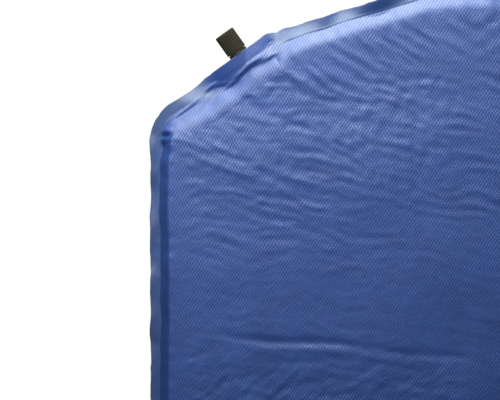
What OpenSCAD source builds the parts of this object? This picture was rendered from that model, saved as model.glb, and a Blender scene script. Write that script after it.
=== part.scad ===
// Self-inflating camping mat: two welded cover sheets round an open-cell foam
// slab, with a twist valve set in the chamfered head corner.
//
// Frame: origin on the underside, half way along the mat and on its centre
// line. +Z is up, +Y runs to the head end, the valve is on the -X side.
// Lengths are in millimetres.

/* [Mat] */
// Width of the mat across the welded flange
mat_w = 600; // [520:10:660]
// Length of the mat along its centre line, flange included
mat_l = 1900; // [1700:10:2000]
// Thickness of the inflated mat
mat_t = 30; // [28:1:38]
// Width of the welded flange round the edge
flange_w = 10.5; // [9:0.5:12]
// Thickness of one coated cover fabric
fabric_t = 0.5; // [0.3:0.1:0.7]

/* [Head and foot outline] */
// How far the chamfer reaches in from the side of the mat
chamfer_x = 105; // [90:5:130]
// Slope of the chamfer, measured from a line across the mat
chamfer_a = 35.7; // [32:0.1:42]
// Slope of the shoulder between the chamfer and the centre line
shoulder_a = 17.7; // [14:0.1:20]
// Radius where the side runs into the chamfer
side_r = 45; // [35:5:60]
// Radius where the chamfer runs into the shoulder
shoulder_r = 40; // [30:5:80]
// Radius of the head end on the centre line
apex_r = 265; // [200:5:300]
// Radius of the two foot corners
foot_r = 60; // [40:5:90]

/* [Valve] */
// Distance of the valve axis from the inner end of the chamfer
valve_in = 28.9; // [26:0.1:40]
// Half length of the boat-shaped weld fitting along the edge
boat_half = 31; // [26:1:32]
// Half thickness of the weld fitting at its middle
boat_t = 7.4; // [7.2:0.1:8]
// Depth of the weld fitting, from the edge into the mat
boat_d = 12; // [11:0.5:14]
// Radius of the collar outside the edge
collar_r = 9.1; // [8:0.1:9.2]
// Height of the collar outside the edge
collar_h = 2.4; // [2:0.1:2.8]

/* [Cap] */
// Radius over the tips of the grip ribs
cap_r = 9.7; // [9.5:0.1:11]
// Length of the cap
cap_len = 20.5; // [20:0.5:22]
// Number of grip ribs
rib_n = 28; // [22:2:36]
// Height of a grip rib
rib_h = 0.55; // [0.3:0.05:0.6]
// Gap between the collar and the closed cap
cap_gap = 0.4; // [0.3:0.1:0.8]
// Radius of the recess that takes a pump nozzle
mouth_r = 5.2; // [4.6:0.1:5.6]
// Depth of that recess
mouth_d = 2.2; // [1.8:0.1:2.6]

/* [Thread] */
// Lead of the two-start thread
lead = 5; // [4:0.5:6]
// Radius of the thread root on the stem
root_r = 6.5; // [6.3:0.1:6.6]
// Radius of the thread crest on the stem
crest_r = 7.45; // [7.2:0.05:7.5]

/* [Hidden] */
$fn = 96;
fabric_blue = [0.24, 0.33, 0.60];
under_blue = [0.16, 0.20, 0.34];
foam_cream = [0.93, 0.89, 0.74];
plastic_black = [0.17, 0.17, 0.14];
stem_black = [0.10, 0.12, 0.11];
rubber_grey = [0.23, 0.23, 0.23];

hw = mat_w / 2;
weld_z = mat_t / 2;
// Corner points of the outline before rounding, left half, foot first.
apex_y = mat_l / 2 + apex_r * (1 / cos(shoulder_a) - 1);
c_pt = [-(hw - chamfer_x), apex_y - (hw - chamfer_x) * tan(shoulder_a)];
b_pt = [-hw, c_pt[1] - chamfer_x * tan(chamfer_a)];
corners = [[-hw, -mat_l / 2, foot_r, 7], [b_pt[0], b_pt[1], side_r, 6],
           [c_pt[0], c_pt[1], shoulder_r, 3], [0, apex_y, apex_r, 10],
           [-c_pt[0], c_pt[1], shoulder_r, 3], [hw, b_pt[1], side_r, 6],
           [hw, -mat_l / 2, foot_r, 7]];
nc = len(corners);

function unit(v) = v / norm(v);
function line_cut(p, u, q, v) =
    p + u * ((v[0] * (p[1] - q[1]) - v[1] * (p[0] - q[0])) / (u[0] * v[1] - u[1] * v[0]));
function pt(i) = let(c = corners[(i + nc) % nc]) [c[0], c[1]];
// Corner i of the outline moved inwards by d; the outline runs clockwise.
function moved(i, d) =
    let(u = unit(pt(i) - pt(i - 1)), v = unit(pt(i + 1) - pt(i)),
        nu = [u[1], -u[0]], nv = [v[1], -v[0]])
    line_cut(pt(i) + nu * d, u, pt(i) + nv * d, v);
// The rounded outline, inset by d, with the same number of points for every d.
function outline(d) = [
    for (i = [0:nc - 1])
        let(c = corners[i], p = moved(i, d),
            u = unit(pt(i) - pt(i - 1)), v = unit(pt(i + 1) - pt(i)),
            turn = acos(u * v), r = max(c[2] - d, 1), t = r * tan(turn / 2),
            o = p - u * t + [u[1], -u[0]] * r)
        for (k = [0:c[3]])
            let(a = turn * k / c[3], n = [-u[1], u[0]])
            o + r * (n * cos(a) + u * sin(a))
];

// Upper half of the side profile as [inset, height above the weld], pulled in by o.
rise = mat_t / 2;
wall = [[0.0, 0.22], [1.2, 0.45], [3.0, 0.66], [5.6, 0.82], [9.5, 0.93], [15, 0.985], [24, 1]];
function side(o) = [for (w = wall) [flange_w + w[0] + o, max(rise * w[1] - o, 0)]];

// A closed solid through rings of equal point count, capped at both ends.
module loft(rings) {
    n = len(rings[0]);
    m = len(rings);
    polyhedron(
        points = [for (r = rings) for (p = r) p],
        faces = concat(
            [for (k = [1:n - 2]) [0, k + 1, k]],
            [for (j = [0:m - 2]) for (k = [0:n - 1]) for (h = [0, 1])
                let(a = j * n + k, b = j * n + (k + 1) % n)
                h == 0 ? [a, b, b + n] : [a, b + n, a + n]],
            [for (k = [1:n - 2]) (m - 1) * n * [1, 1, 1] + [0, k, k + 1]]),
        convexity = 4);
}
function ring(d, z) = [for (p = outline(d)) [p[0], p[1], z]];

// The space under the upper cover, pulled in by o, above height z0 over the weld.
module dome(o, z0) {
    s = side(o);
    loft(concat([ring(flange_w + o, weld_z + z0)],
                [for (w = s) ring(w[0], weld_z + w[1])]));
}

// Puts children on the valve axis: their +Z points out of the mat, +X along the edge.
valve_pt = c_pt - valve_in * [cos(chamfer_a), sin(chamfer_a)];
module on_valve() translate([valve_pt[0], valve_pt[1], weld_z]) rotate([0, 0, chamfer_a]) rotate([-90, 0, 0]) children();

// Lens-shaped bar: the section of the weld fitting, grown by g.
module lens(g, z0, z1) {
    t = boat_t + g;
    h = boat_half + 2 * g;
    r = (h * h + t * t) / (2 * t);
    translate([0, 0, z0]) linear_extrude(height = z1 - z0) intersection() {
        translate([0, r - t]) circle(r = r, $fn = 360);
        translate([0, t - r]) circle(r = r, $fn = 360);
    }
}

module cover_half() {
    difference() {
        union() {
            translate([0, 0, weld_z]) linear_extrude(height = fabric_t) polygon(outline(0));
            dome(0, 0);
            // fabric pulled over the weld fitting
            intersection() {
                on_valve() lens(fabric_t, -boat_d - fabric_t, 0);
                translate([-mat_w, 0, weld_z]) cube([mat_w, mat_l, mat_t]);
            }
        }
        dome(fabric_t, -1);
        on_valve() lens(0.05, -boat_d - 0.05, 1);
        on_valve() translate([0, 0, -30]) cylinder(r = 5.6, h = 30);
    }
}

module top_cover() color(fabric_blue) cover_half();

module bottom_cover() color(under_blue) translate([0, 0, 2 * weld_z]) mirror([0, 0, 1]) cover_half();

foam_gap = 0.1;
module foam_core() color(foam_cream) {
    o = fabric_t + foam_gap;
    s = side(o);
    difference() {
        loft(concat([for (k = [len(s) - 1:-1:0]) ring(s[k][0], weld_z - s[k][1])],
                    [for (w = s) ring(w[0], weld_z + w[1])]));
        // pocket that keeps the foam off the valve and lets air through
        on_valve() lens(1.2, -boat_d - 2, 2);
        on_valve() translate([0, 0, -26]) cylinder(r = 7, h = 28);
    }
}

// Weld fitting: ribbed boat, outer collar, and a nose with side ports.
socket_r = 5.6;
nose_len = 6;
nose_r = 4.8;
module valve_base() color(stem_black) on_valve() difference() {
    union() {
        lens(-0.45, -boat_d, 0);
        for (z = [-10.5:3:-1.5]) lens(0, z - 0.5, z + 0.5);
        cylinder(r = collar_r, h = collar_h);
        translate([0, 0, -boat_d - nose_len]) cylinder(r = nose_r, h = nose_len + 1);
    }
    translate([0, 0, -boat_d - nose_len - 1]) cylinder(r = 3.4, h = nose_len + 8);
    translate([0, 0, -boat_d + 3]) cylinder(r = socket_r, h = boat_d + collar_h);
    // ports across the nose
    translate([0, 0, -boat_d - 3]) rotate([90, 0, 0]) cylinder(r = 1.4, h = 20, center = true);
    translate([0, 0, -boat_d - 3]) rotate([0, 90, 0]) cylinder(r = 1.4, h = 20, center = true);
}

// Helical ridge between angles a0 and a1, from radius r0 to r1, at height z0 at angle 0.
step_a = 15;
module ridge(r0, r1, w0, w1, z0, a0, a1) {
    n = ceil((a1 - a0) / step_a);
    sec = [for (i = [0:n]) let(a = a0 + (a1 - a0) * i / n, z = z0 + lead * a / 360)
        [[r0 * cos(a), r0 * sin(a), z - w0 / 2], [r1 * cos(a), r1 * sin(a), z - w1 / 2],
         [r1 * cos(a), r1 * sin(a), z + w1 / 2], [r0 * cos(a), r0 * sin(a), z + w0 / 2]]];
    polyhedron(
        points = [for (s = sec) for (p = s) p],
        faces = concat([[0, 2, 1], [0, 3, 2]],
            [for (j = [0:n - 1]) for (k = [0:3]) for (h = [0, 1])
                let(a = j * 4 + k, b = j * 4 + (k + 1) % 4)
                h == 0 ? [a, b, b + 4] : [a, b + 4, a + 4]],
            [[n * 4, n * 4 + 1, n * 4 + 2], [n * 4, n * 4 + 2, n * 4 + 3]]),
        convexity = 6);
}

cap_z = collar_h + cap_gap;         // skirt edge of the closed cap
cap_end = cap_z + cap_len;          // outer end of the closed cap
crown_z = cap_end - mouth_d - 1.8;  // underside of the crown
rim_z = crown_z - 1.4;              // end of the stem tube, below the washer
bore_r = 7.95;                      // inside of the cap skirt
hole_r = 3.4;                       // mouth hole that the plug closes
thread_z = 8;                       // where the thread starts

// Threaded stem: socket end, shoulder, O-ring groove, thread and plug on a spider.
module valve_stem() color(stem_black) on_valve() union() {
    difference() {
        union() {
            translate([0, 0, -boat_d + 4]) cylinder(r = socket_r - 0.05, h = boat_d);
            translate([0, 0, collar_h]) cylinder(r = 7.5, h = 1.0);
            translate([0, 0, collar_h]) cylinder(r = root_r - 0.35, h = 3);
            translate([0, 0, collar_h + 2.9]) cylinder(r = 7.5, h = 0.8);
            translate([0, 0, collar_h + 2.9]) cylinder(r = root_r, h = rim_z - collar_h - 2.9);
            for (s = [0, 180]) rotate([0, 0, s]) ridge(root_r - 0.6, crest_r, 1.5, 0.8, thread_z, 0, 600);
        }
        translate([0, 0, -boat_d + 3]) cylinder(r = 4.2, h = boat_d + rim_z);
    }
    // spider that carries the plug
    for (a = [90, 210, 330]) rotate([0, 0, a]) translate([0, -0.8, rim_z - 3.4]) cube([4.6, 1.6, 2.6]);
    translate([0, 0, rim_z - 3.8]) cylinder(r = 1.9, h = 3.9);
    translate([0, 0, rim_z]) cylinder(r1 = 1.9, r2 = 2.9, h = crown_z - rim_z);
    translate([0, 0, crown_z]) cylinder(r = 2.9, h = 0.3);
    translate([0, 0, crown_z + 0.3]) cylinder(r = 2.3, h = 1.1);
    translate([0, 0, crown_z + 1.4]) cylinder(r1 = 2.9, r2 = 2.6, h = 0.35);
}

module o_ring(r, t) rotate_extrude() translate([r, 0]) circle(r = t, $fn = 48);

module stem_o_ring() color(rubber_grey) on_valve() translate([0, 0, collar_h + 1.95]) o_ring(root_r - 0.3 + 0.82, 0.8);

module plug_seal() color(rubber_grey) on_valve() translate([0, 0, crown_z + 0.85]) difference() {
    translate([0, 0, -0.5]) cylinder(r = hole_r - 0.05, h = 1.0);
    translate([0, 0, -1]) cylinder(r = 2.35, h = 2);
}

module cap_washer() color(rubber_grey) on_valve() translate([0, 0, crown_z - 1.3]) difference() {
    cylinder(r = bore_r - 0.35, h = 1.2);
    translate([0, 0, -1]) cylinder(r = 3.8, h = 4);
}

// Ribbed outline of the grip: rounded ribs with narrow valleys.
function grip(r, n, h) = [for (i = [0:n - 1]) for (k = [0:7])
    let(a = 360 * (i + k / 8) / n, q = r - h * [0, 0.05, 0.22, 0.6, 1, 0.6, 0.22, 0.05][k])
    [q * cos(a), q * sin(a)]];

module valve_cap() color(plastic_black) on_valve() difference() {
    union() {
        intersection() {
            translate([0, 0, cap_z]) linear_extrude(height = cap_len) polygon(grip(cap_r, rib_n, rib_h));
            union() {
                translate([0, 0, cap_z]) cylinder(r1 = cap_r - 0.5, r2 = cap_r + 0.1, h = 0.6);
                translate([0, 0, cap_z + 0.6]) cylinder(r = cap_r + 0.1, h = cap_len - 1.8);
                translate([0, 0, cap_end - 1.2]) cylinder(r1 = cap_r + 0.1, r2 = cap_r - 1.0, h = 1.2);
            }
        }
    }
    difference() {
        translate([0, 0, cap_z - 1]) cylinder(r = bore_r, h = crown_z - cap_z + 1);
        // followers that ride between the thread turns
        for (s = [0, 180]) rotate([0, 0, s]) ridge(crest_r - 0.6, bore_r + 0.6, 0.7, 1.2, thread_z + lead / 4, 60, 120);
    }
    translate([0, 0, crown_z - 1]) cylinder(r = hole_r, h = 4);
    translate([0, 0, cap_end - mouth_d]) cylinder(r = mouth_r, h = mouth_d + 1);
}

top_cover();
bottom_cover();
foam_core();
valve_base();
valve_stem();
stem_o_ring();
plug_seal();
cap_washer();
valve_cap();
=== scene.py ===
"""Self-inflating camping mat: cover cloth, valve and studio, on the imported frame.

Lengths in the code are millimetres in the row frame until MM turns them to metres.
"""
import math

import bmesh
import bpy
import numpy as np
from mathutils import Matrix, Vector


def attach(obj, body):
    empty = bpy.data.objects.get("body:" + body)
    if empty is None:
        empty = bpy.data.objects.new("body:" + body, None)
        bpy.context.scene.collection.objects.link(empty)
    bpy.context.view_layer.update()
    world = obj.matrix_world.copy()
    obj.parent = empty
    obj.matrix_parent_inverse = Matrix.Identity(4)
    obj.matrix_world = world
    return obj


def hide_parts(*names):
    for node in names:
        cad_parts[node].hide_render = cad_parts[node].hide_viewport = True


MM = 0.001
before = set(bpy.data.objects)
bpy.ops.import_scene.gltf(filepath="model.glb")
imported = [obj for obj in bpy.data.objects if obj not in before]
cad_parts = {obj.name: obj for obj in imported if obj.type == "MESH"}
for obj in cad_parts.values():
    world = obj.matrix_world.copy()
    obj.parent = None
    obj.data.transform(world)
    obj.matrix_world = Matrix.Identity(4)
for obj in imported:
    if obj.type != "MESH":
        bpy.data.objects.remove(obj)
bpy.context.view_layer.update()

# ----------------------------------------------------------------- outline
HW, LEN, T = 300.0, 1900.0, 30.0
ZW = T / 2
SH_A, CH_A, CH_X = 17.7, 35.7, 105.0
APEX_R = 265.0
FLANGE = 10.5
apex_y = LEN / 2 + APEX_R * (1 / math.cos(math.radians(SH_A)) - 1)
c_pt = np.array([-(HW - CH_X), apex_y - (HW - CH_X) * math.tan(math.radians(SH_A))])
b_pt = np.array([-HW, c_pt[1] - CH_X * math.tan(math.radians(CH_A))])
CORNERS = [
    (-HW, -LEN / 2, 60.0),
    (b_pt[0], b_pt[1], 45.0),
    (c_pt[0], c_pt[1], 40.0),
    (0.0, apex_y, APEX_R),
    (-c_pt[0], c_pt[1], 40.0),
    (HW, b_pt[1], 45.0),
    (HW, -LEN / 2, 60.0),
]
VALVE_IN = 28.9
ca, sa = math.cos(math.radians(CH_A)), math.sin(math.radians(CH_A))
V0 = c_pt - VALVE_IN * np.array([ca, sa])  # valve axis at the edge of the cloth
V_OUT = np.array([-sa, ca])  # out of the mat
V_ALONG = np.array([ca, sa])  # along the chamfer, towards the centre line


def unit(v):
    return v / np.linalg.norm(v)


def dense_outline(step=0.5):
    """Points and inward normals every step or so, clockwise from the middle of the foot."""
    n = len(CORNERS)
    pts = [np.array(c[:2]) for c in CORNERS]
    segs = []
    for i, (x, y, r) in enumerate(CORNERS):
        p, q, w = pts[i - 1], pts[i], pts[(i + 1) % n]
        u, v = unit(q - p), unit(w - q)
        turn = math.acos(max(-1, min(1, float(u @ v))))
        t = r * math.tan(turn / 2)
        a, b = q - u * t, q + v * t
        nrm = np.array([u[1], -u[0]])
        o = a + nrm * r
        segs.append((a, b, o, u, nrm, r, turn))
    P, N, mids = [], [], []
    for i in range(n):
        a, b, o, u, nrm, r, turn = segs[i]
        prev_b = segs[i - 1][1]
        L = np.linalg.norm(a - prev_b)
        m = max(2, int(L / step))
        for k in range(m):
            P.append(prev_b + (a - prev_b) * k / m)
            N.append(nrm)
        m = max(8, int(r * turn / step))
        for k in range(m):
            th = turn * k / m
            d = -nrm * math.cos(th) + u * math.sin(th)
            P.append(o + d * r)
            N.append(-d)
            if k == m // 2:
                mids.append(len(P) - 1)
    return np.array(P), np.array(N), mids


DP, DN, MIDS = dense_outline()
seg = np.linalg.norm(np.roll(DP, -1, 0) - DP, axis=1)
DS = np.concatenate([[0], np.cumsum(seg)])[:-1]
PERIM = seg.sum()
S_FL, S_HL, S_HR, S_FR = (DS[MIDS[i]] for i in (0, 1, 5, 6))


def at_s(s):
    s = np.mod(s, PERIM)
    xs = np.concatenate([DS, [PERIM]])
    P = np.stack([np.interp(s, xs, np.append(DP[:, k], DP[0, k])) for k in (0, 1)], -1)
    N = np.stack([np.interp(s, xs, np.append(DN[:, k], DN[0, k])) for k in (0, 1)], -1)
    return P, N / np.linalg.norm(N, axis=-1, keepdims=True)


# ------------------------------------------------------------ smooth noise
def smoothstep(a, b, x):
    t = np.clip((x - a) / (b - a), 0, 1)
    return t * t * (3 - 2 * t)


class Field:
    """Seeded noise on a plane grid, stretched along one direction by filtering its spectrum."""

    def __init__(self, seed, length, width, angle, cell=1.5, band=True):
        rng = np.random.default_rng(seed)
        self.cell = cell
        self.nx, self.ny = int(760 / cell), int(2060 / cell)
        g = rng.standard_normal((self.ny, self.nx))
        fy = np.fft.fftfreq(self.ny, cell)[:, None]
        fx = np.fft.fftfreq(self.nx, cell)[None, :]
        a = math.radians(angle)
        al = fx * math.cos(a) + fy * math.sin(a)
        ac = -fx * math.sin(a) + fy * math.cos(a)
        r = (al * length) ** 2 + (ac * width) ** 2
        flt = np.exp(-r * 2.0)
        if band:
            flt = flt * (1 - np.exp(-((ac * width) ** 2) * 6.0))
        g = np.fft.ifft2(np.fft.fft2(g) * flt).real
        self.g = g / g.std()

    def __call__(self, x, y):
        u = np.mod((np.asarray(x) + 380) / self.cell, self.nx)
        v = np.mod((np.asarray(y) + 1030) / self.cell, self.ny)
        i, j = np.floor(u).astype(int), np.floor(v).astype(int)
        fu, fv = u - i, v - j
        fu, fv = fu * fu * (3 - 2 * fu), fv * fv * (3 - 2 * fv)
        i, j = i % self.nx, j % self.ny
        i1, j1 = (i + 1) % self.nx, (j + 1) % self.ny
        g = self.g
        return (g[j, i] * (1 - fu) + g[j, i1] * fu) * (1 - fv) + (
            g[j1, i] * (1 - fu) + g[j1, i1] * fu
        ) * fv


def noise_s(seed, wavelength, n=8192):
    """Seeded noise along the closed edge."""
    rng = np.random.default_rng(seed)
    g = rng.standard_normal(n)
    f = np.fft.fftfreq(n, PERIM / n)
    g = np.fft.ifft(np.fft.fft(g) * np.exp(-((f * wavelength) ** 2) * 2)).real
    g /= g.std()

    def at(s):
        u = np.mod(s, PERIM) / PERIM * n
        i = np.floor(u).astype(int) % n
        fr = u - np.floor(u)
        return g[i] * (1 - fr) + g[(i + 1) % n] * fr

    return at


EDGE_WAVE = noise_s(11, 24)
EDGE_FINE = noise_s(12, 6)
FL_WAVE = noise_s(13, 46)
FL_WAVE2 = noise_s(14, 22)
PUCK = noise_s(15, 11)
PUCK2 = noise_s(16, 7)


def nearest_s(p):
    """Edge position of the outline point nearest to p."""
    d = ((DP - np.asarray(p)) ** 2).sum(1)
    return DS[int(d.argmin())]


S_V = nearest_s(V0)


def s_dist(s, s0):
    return np.mod(s - s0 + PERIM / 2, PERIM) - PERIM / 2


def bump(x, w):
    return np.exp(-((x / w) ** 2))


# ------------------------------------------------------------- side profile
def _profile():
    wall = [-4, 0, 0.3, 1.5, 3, 5, 7, 8.2, 9.2, 10.5, 12.5, 17, 60]
    rise = [0, 0, 0.05, 0.20, 0.385, 0.61, 0.815, 0.905, 0.95, 0.978, 0.991, 1, 1]
    x = np.linspace(-4, 60, 3201)
    y = np.interp(x, wall, rise)
    g = np.exp(-((np.arange(-75, 76) * 0.02 / 0.75) ** 2))
    y2 = np.convolve(np.pad(y, 75, mode="edge"), g / g.sum(), "valid")
    # the weld keeps a sharper start than the shoulder
    y = np.where(x < 1.2, 0.6 * y + 0.4 * y2, y2)
    return x, y


PX, PY = _profile()


def lens(e, t, h):
    r = (h * h + t * t) / (2 * t)
    return np.where(np.abs(e) < h, np.sqrt(np.maximum(r * r - e * e, 0)) - (r - t), 0.0)


def ramp(x, *pairs):
    """Smooth steps through (position, value) pairs."""
    out = np.full(np.shape(x), float(pairs[0][1]))
    for (a, va), (b, vb) in zip(pairs[:-1], pairs[1:]):
        out = out + (vb - va) * smoothstep(a, b, x)
    return out


# Along the edge, e is the distance from the valve axis, positive towards the
# centre line: the chamfer runs from -100 to 29, the side lies below it and the
# head end beyond it.
def weld_in(s):
    """How far in from the edge the weld ends and the cloth lifts."""
    e = s_dist(s, S_V)
    w = ramp(
        e,
        (-142, 8.7), (-128, 10.2), (-112, 10.0), (-96, 9.6), (-74, 10.6), (-62, 12.6), (-50, 13.0), (-42, 19.0),
        (-34, 19.6), (-22, 20.2), (-8, 19.4), (2, 18.0), (12, 20.6), (22, 21.6), (32, 20.8), (42, 11.2),
    )
    w = w + ramp(e, (300, 0), (330, -0.9), (520, -0.9), (560, 0.0))
    return w + 0.4 * FL_WAVE2(s)


def wall_scale(s):
    e = s_dist(s, S_V)
    sc = ramp(
        e,
        (-130, 0.88), (-116, 1.0), (-94, 1.75), (-74, 1.75), (-60, 1.25), (-48, 0.92), (-34, 0.86),
        (-22, 0.55), (-8, 0.64), (2, 0.78), (12, 0.84), (31, 0.80), (43, 1.32),
    )
    return sc - ramp(e, (320, 0), (380, 0.44), (9999, 0.44))


def weld_lift(s, d):
    """The weld sits above mid height where the cover pulls it up."""
    e = s_dist(s, S_V)
    lift = ramp(e, (-112, 0.0), (-92, 2.4), (-62, 2.4), (-44, 0.0))
    near = ramp(e, (30, 0.0), (42, 4.0), (440, 4.0), (500, 0.0))
    back = ramp(e, (4, 0.0), (40, 4.0), (440, 4.0), (500, 0.0))
    mix = smoothstep(10.5, 14.5, d)
    return lift + near * (1 - mix) + back * mix


def edge_shift(s):
    """Small waviness of the cut edge, outwards positive."""
    e = s_dist(s, S_V)
    calm = 1 - 0.8 * bump(e, 34)
    slack = -1.5 * smoothstep(-80, -58, e) * (1 - smoothstep(-50, -37, e))
    notch = 0.9 * bump(e - 31, 4.5) - 1.5 * bump(e - 40, 4.0) + 0.5 * bump(e - 50, 7)
    return (0.36 * EDGE_WAVE(s) + 0.14 * EDGE_FINE(s)) * calm + notch + slack


def weld_z(s, d):
    """Height of the weld, where the two cloths meet; it waves up and down at its free edge."""
    e = s_dist(s, S_V)
    free = 1 - smoothstep(0, 12.5, d)
    calm = 1 - 0.95 * bump(e, 36) ** 0.7
    wave = 1.0 * FL_WAVE(s) + 0.55 * FL_WAVE2(s)
    roll = (
        -3.4 * bump(e - 52, 16)
        + 2.6 * bump(e - 86, 11)
        - 1.0 * bump(e - 103, 9)
        + 2.8 * bump(e - 136, 17)
        - 2.6 * bump(e - 176, 15)
        + 3.4 * bump(e - 212, 18)
        - 3.0 * bump(e - 252, 16)
        + 2.0 * bump(e + 38, 6)
        - 1.7 * bump(e + 57, 10)
        - 0.9 * bump(e + 76, 12)
    )
    k = in_loft(e)
    mid = loft(e, np.minimum(d, 9)) - lens(e, 7.95, 35.0)
    return ZW + (weld_lift(s, d) + free * (calm * wave + roll)) * (1 - k) + mid * k


def height_above(s, d):
    """Height over the weld at inset d."""
    t = (d - weld_in(s)) / wall_scale(s)
    e = s_dist(s, S_V)
    sag = ramp(e, (-250, 0.0), (-112, 1.6), (-80, 1.8), (-46, 2.2), (20, 2.2), (52, 1.6), (440, 1.6), (500, 0.0))
    sag = sag * (1 - smoothstep(20, 130, d))
    dip = smoothstep(-64, -44, e) * (1 - smoothstep(34, 50, e))
    sag = sag + 3.0 * dip * (1 - smoothstep(25, 64, d))
    return (ZW - 0.5 - weld_lift(s, d) - sag) * np.interp(t, PX, PY)


# Loft sections across the chamfer: {e: (inset, height over mid height), ...}.
# The cloth runs level over the fitting, turns over its lip into a groove and
# then climbs in one long slope to the pad.
SECTIONS = {
    -112: ((0, 0.4), (10, 0.5), (13, 4.6), (15, 7.2), (17, 9.7), (19, 11.5), (21, 12.3), (24, 12.7), (36, 12.9)),
    -104: ((0, 0.9), (9.8, 1.1), (13, 4.3), (15, 6.4), (17, 8.4), (19, 10.1), (21, 11.4), (24, 12.2), (28, 12.5), (36, 12.8)),
    -92: ((0, 1.6), (9.6, 1.9), (12, 3.1), (16, 6.0), (21, 9.9), (24, 11.3), (28, 11.9), (36, 12.6)),
    -80: ((0, 2.3), (10, 2.4), (11.5, 2.9), (15.5, 4.3), (24.5, 10.3), (26.5, 10.9), (30, 11.4), (36, 12.1)),
    -70: ((0, 2.3), (10.4, 2.5), (11.5, 3.0), (15.5, 4.0), (27, 10.8), (29, 11.3), (36, 11.9)),
    -60: ((0, 0.4), (9, 3.0), (12.6, 4.3), (13.6, 4.3), (14.6, 4.0), (16, 4.5), (23, 6.7), (28, 10.3), (30, 10.9), (36, 11.5)),
    -50: ((0, -0.3), (2, 0.2), (9, 1.7), (14, 2.9), (17, 3.6), (21, 4.2), (22.4, 4.8), (28.8, 9.9), (30.4, 10.5), (36, 11.3)),
    -40: ((0, 0.9), (10, 0.8), (12, 0.6), (14, 1.4), (19.5, 3.2), (20.5, 3.9), (28.8, 9.9), (30.4, 10.5), (36, 11.3)),
    -30: ((0, 2.15), (16, 2.3), (17, 2.7), (19.5, 3.6), (20.5, 4.4), (27.8, 9.8), (29.4, 10.4), (36, 11.3)),
    -20: ((0, 5.4), (14.2, 5.4), (16.1, 6.3), (17.0, 6.0), (19.3, 3.7), (20.4, 4.0), (21.4, 4.8), (25.2, 8.2), (30, 9.9), (36, 11.3)),
    -10: ((0, 7.35), (11.8, 7.35), (13.5, 8.4), (14.3, 8.1), (17.0, 5.5), (18.2, 5.5), (19.5, 6.2), (24.8, 9.9), (26.4, 10.5), (36, 11.9)),
    0: ((0, 7.95), (10.6, 8.0), (12.1, 9.0), (12.9, 8.8), (16.4, 6.0), (17.6, 6.1), (18.7, 6.9), (23.9, 10.6), (25.4, 11.2), (36, 12.2)),
    10: ((0, 7.3), (10.2, 7.3), (12.1, 8.8), (13.0, 8.8), (15, 7.8), (17.4, 6.6), (19.0, 6.7), (20.4, 7.4), (26, 11.2), (28, 11.9), (36, 12.8)),
    20: ((0, 5.4), (10.0, 5.4), (11, 6.1), (16.8, 9.3), (18.0, 9.4), (20.2, 8.1), (21.2, 8.2), (22.2, 8.8), (28, 12.4), (30, 12.9), (36, 13.3)),
    30: ((0, 2.15), (8.4, 2.2), (9.5, 2.8), (17.8, 7.7), (19.0, 7.7), (20.3, 7.0), (21.2, 7.3), (28.6, 11.8), (31, 12.4), (36, 12.9)),
    40: ((0, 0.5), (8.5, 2.9), (24.8, 11.7), (27, 12.3), (33, 12.8), (36, 12.9)),
    50: ((0, 0.8), (9, 3.9), (24.8, 11.9), (27, 12.4), (33, 12.8), (36, 12.9)),
}


def _loft():
    es = np.array(sorted(SECTIONS), float)
    dd = np.arange(-2, 40.01, 0.25)
    rows = np.array([np.interp(dd, *np.array(SECTIONS[int(e)]).T) for e in es])
    ee = np.arange(-130, 60.01, 1.0)
    grid = np.array([np.interp(ee, es, rows[:, k]) for k in range(len(dd))]).T
    for axis, sd, step in ((0, 2.2, 1.0), (1, 0.36, 0.25)):
        r = int(3 * sd / step)
        g = np.exp(-0.5 * (np.arange(-r, r + 1) * step / sd) ** 2)
        g /= g.sum()
        pad = [(0, 0), (0, 0)]
        pad[axis] = (r, r)
        grid = np.apply_along_axis(lambda v: np.convolve(v, g, "valid"), axis, np.pad(grid, pad, mode="edge"))
    return grid


LOFT = _loft()


def in_loft(e):
    return smoothstep(-120, -104, e) * (1 - smoothstep(40, 50, e))


def loft(e, d):
    """Height of the upper cloth over mid height across the chamfer."""
    u = np.clip(np.asarray(e) + 130, 0, LOFT.shape[0] - 1.001)
    slip = ramp(e, (-38, 0.0), (-24, 1.8), (-8, 1.6), (2, 1.0), (14, 1.2), (32, 1.0), (42, 0.0))
    v = np.clip((np.minimum(d, 36) - slip * smoothstep(8, 13, d) + 2) * 4, 0, LOFT.shape[1] - 1.001)
    i, j = u.astype(int), v.astype(int)
    fu, fv = u - i, v - j
    h = (LOFT[i, j] * (1 - fu) + LOFT[i + 1, j] * fu) * (1 - fv) + (
        LOFT[i, j + 1] * (1 - fu) + LOFT[i + 1, j + 1] * fu
    ) * fv
    h = np.maximum(h, lens(e, 7.95, 35.0) * (1 - smoothstep(9.5, 11.5, d)))
    inner = ZW - 0.5 - 1.6 * (1 - smoothstep(20, 130, d))
    return h + (inner - h) * (1 - np.exp(-np.maximum(d - 36, 0) / 30)) * smoothstep(34, 40, d)


def lip_at(e):
    return ramp(e, (-30, 16.5), (-19, 15.5), (-10, 13.2), (1, 12.1), (20, 11.4), (30, 10.0))


def tent(s, d):
    """Cloth stretched from the edge up to the shoulder of the pad, either side of the fitting."""
    e = s_dist(s, S_V)
    win = smoothstep(-64, -46, e) * (1 - smoothstep(34, 46, e))
    start = ramp(e, (-54, 2.0), (-42, 12.0), (-30, 14.5), (4, 13.0), (20, 11.4), (32, 10.6))
    end = ramp(e, (4, 20.5), (20, 18.5))
    high = ramp(e, (-60, 3.2), (-46, 2.4), (-34, 1.9), (-6, 2.6), (20, 5.0))
    return high * win * np.clip((d - start) / (end - start), 0, 1)


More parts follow.
